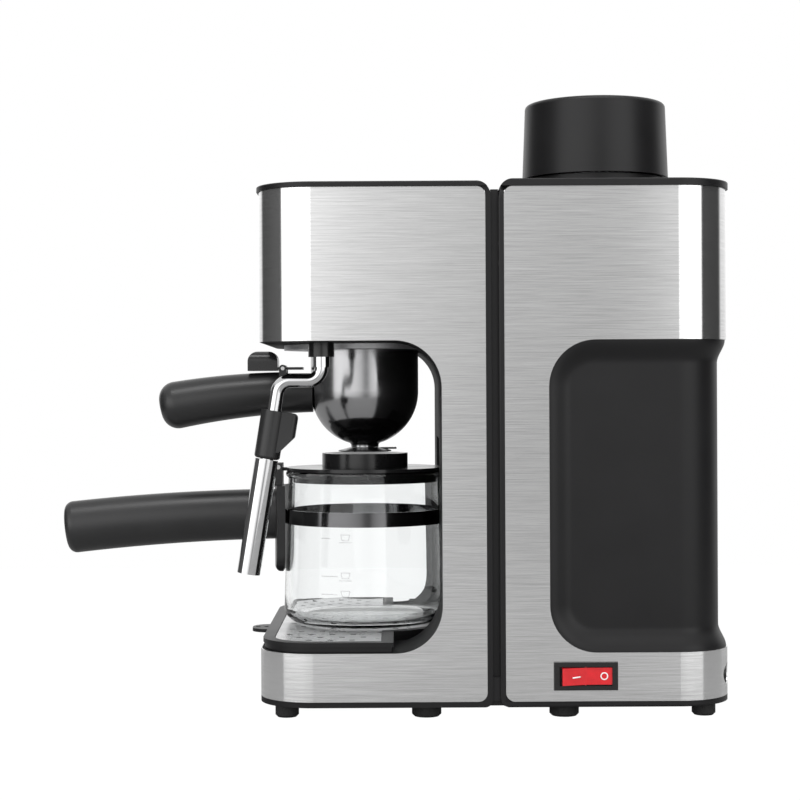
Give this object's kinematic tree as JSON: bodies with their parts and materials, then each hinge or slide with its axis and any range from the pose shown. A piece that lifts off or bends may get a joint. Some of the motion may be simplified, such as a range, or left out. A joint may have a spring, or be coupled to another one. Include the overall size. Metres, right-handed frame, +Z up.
{
  "type": "espresso machine",
  "caption": "Steam espresso machine in a steel-wrapped body, with screw-capped boiler, portafilter, glass jug, drip tray, steam wand and rocker switch.",
  "frame": {"origin": "on the table under the seam between the two halves, in the middle plane", "axes": "+Z up, -X to the front where the jug and handles are, +Y to the side with the steam knob"},
  "size_m": [0.3535, 0.2053, 0.3216],
  "materials": {
    "black_casing": "fine satin moulding",
    "black_cover": "satin moulding",
    "brushed_wrap": "brushed along the sheet",
    "screw_steel": "zinc plated",
    "black_rubber": "matte",
    "cast_aluminium": "as cast",
    "plain_steel": "satin",
    "cap_plastic": "fine grained",
    "knob_plastic": "satin",
    "dark_chrome": "polished",
    "bright_chrome": "polished",
    "handle_plastic": "satin",
    "black_fittings": "semi gloss",
    "clear_glass": "clear",
    "red_rocker": "gloss",
    "wire_cover": "insulated"
  },
  "bodies": {
    "machine": {"front_shell": "black_casing", "front_wrap": "brushed_wrap", "front_top_cover": "black_cover", "rear_shell": "black_casing", "rear_wrap": "brushed_wrap", "rear_top_cover": "black_cover", "seam_frame": "black_casing", "frame_screws": "screw_steel", "base_plate": "black_casing", "base_screws": "screw_steel", "feet": "black_rubber", "boiler_pot": "cast_aluminium", "boiler_top": "cast_aluminium", "filler_neck": "cast_aluminium", "boiler_gasket": "black_rubber", "boiler_screws": "screw_steel", "neck_nut": "cast_aluminium", "heating_element": "plain_steel", "thermostat": "plain_steel", "steam_valve": "cast_aluminium", "steam_pipe": "plain_steel", "brew_pipe": "plain_steel", "wand_feed_pipe": "plain_steel", "brew_head": "cast_aluminium", "head_screws": "screw_steel", "group_gasket": "black_rubber", "shower_screen": "plain_steel", "shower_screw": "screw_steel", "wand_collar": "black_fittings", "collar_nut": "plain_steel", "switch_bezel": "black_fittings", "cord_gland": "black_fittings", "wiring": "wire_cover"},
    "cap_seal": {"cap_gasket": "black_rubber"},
    "cap": {"boiler_cap": "cap_plastic", "cap_plug": "cast_aluminium", "relief_spring": "plain_steel"},
    "relief": {"relief_valve": "plain_steel"},
    "knob": {"steam_knob": "knob_plastic", "valve_spindle": "plain_steel"},
    "portafilter": {"portafilter_bowl": "dark_chrome", "portafilter_spout": "dark_chrome", "portafilter_handle": "handle_plastic", "handle_bolt": "screw_steel", "filter_basket": "plain_steel", "clip_pin": "screw_steel"},
    "clip": {"filter_clip": "black_fittings"},
    "lever": {"strength_lever": "black_fittings"},
    "carafe": {"carafe_glass": "clear_glass", "carafe_lid": "black_fittings", "lid_pin": "screw_steel", "carafe_band": "bright_chrome", "band_screw": "screw_steel", "carafe_handle": "handle_plastic"},
    "tray": {"drip_tray": "black_fittings", "drip_grid": "bright_chrome"},
    "wand": {"wand_tube": "bright_chrome", "wand_grip": "handle_plastic"},
    "sleeve": {"froth_sleeve": "bright_chrome"},
    "rocker": {"switch_rocker": "red_rocker"}
  },
  "joints": [
    {"name": "cap_lift", "type": "slide", "parent": "machine", "child": "cap_seal", "axis": [0, 0, 1], "range_m": [0, 0.008]},
    {"name": "cap_turn", "type": "hinge", "parent": "cap_seal", "child": "cap", "pos_m": [0.06, 0, 0.28095], "axis": [0, 0, 1], "range_deg": [0, 720]},
    {"name": "relief_lift", "type": "slide", "parent": "cap", "child": "relief", "axis": [0, 0, 1], "range_m": [0, 0.003], "stiffness_N_per_m": 600, "springref_m": -0.004, "deforming": ["relief_spring"]},
    {"name": "knob_turn", "type": "hinge", "parent": "machine", "child": "knob", "pos_m": [-0.08, 0.09, 0.246], "axis": [0, 1, 0], "range_deg": [-90, 90]},
    {"name": "portafilter_twist", "type": "hinge", "parent": "machine", "child": "portafilter", "pos_m": [-0.0672, 0, 0.1905], "axis": [0, 0, 1], "range_deg": [-45, 0]},
    {"name": "clip_flip", "type": "hinge", "parent": "portafilter", "child": "clip", "pos_m": [-0.1117, 0, 0.17802], "axis": [0, 1, 0], "range_deg": [0, 8]},
    {"name": "strength_turn", "type": "hinge", "parent": "portafilter", "child": "lever", "pos_m": [-0.0672, 0, 0.1348], "axis": [0, 0, 1], "range_deg": [-25, 25]},
    {"name": "carafe_pull", "type": "slide", "parent": "machine", "child": "carafe", "axis": [-1, 0, 0], "range_m": [0, 0.16]},
    {"name": "tray_pull", "type": "slide", "parent": "machine", "child": "tray", "axis": [-1, 0, 0], "range_m": [0, 0.1]},
    {"name": "wand_swing", "type": "hinge", "parent": "machine", "child": "wand", "pos_m": [-0.0883, -0.06, 0.1905], "axis": [0, 0, 1], "range_deg": [0, 80]},
    {"name": "sleeve_pull", "type": "slide", "parent": "wand", "child": "sleeve", "axis": [-0.1616, 0, -0.9869], "range_m": [0, 0.02]},
    {"name": "rocker_tip", "type": "hinge", "parent": "machine", "child": "rocker", "pos_m": [0.0445, -0.0885, 0.0222], "axis": [0, 0, 1], "range_deg": [-16.13, 0]}
  ],
  "couplings": [
    {"joint": "cap_lift", "follows": "cap_turn", "m_per_rad": 0.000636}
  ]
}
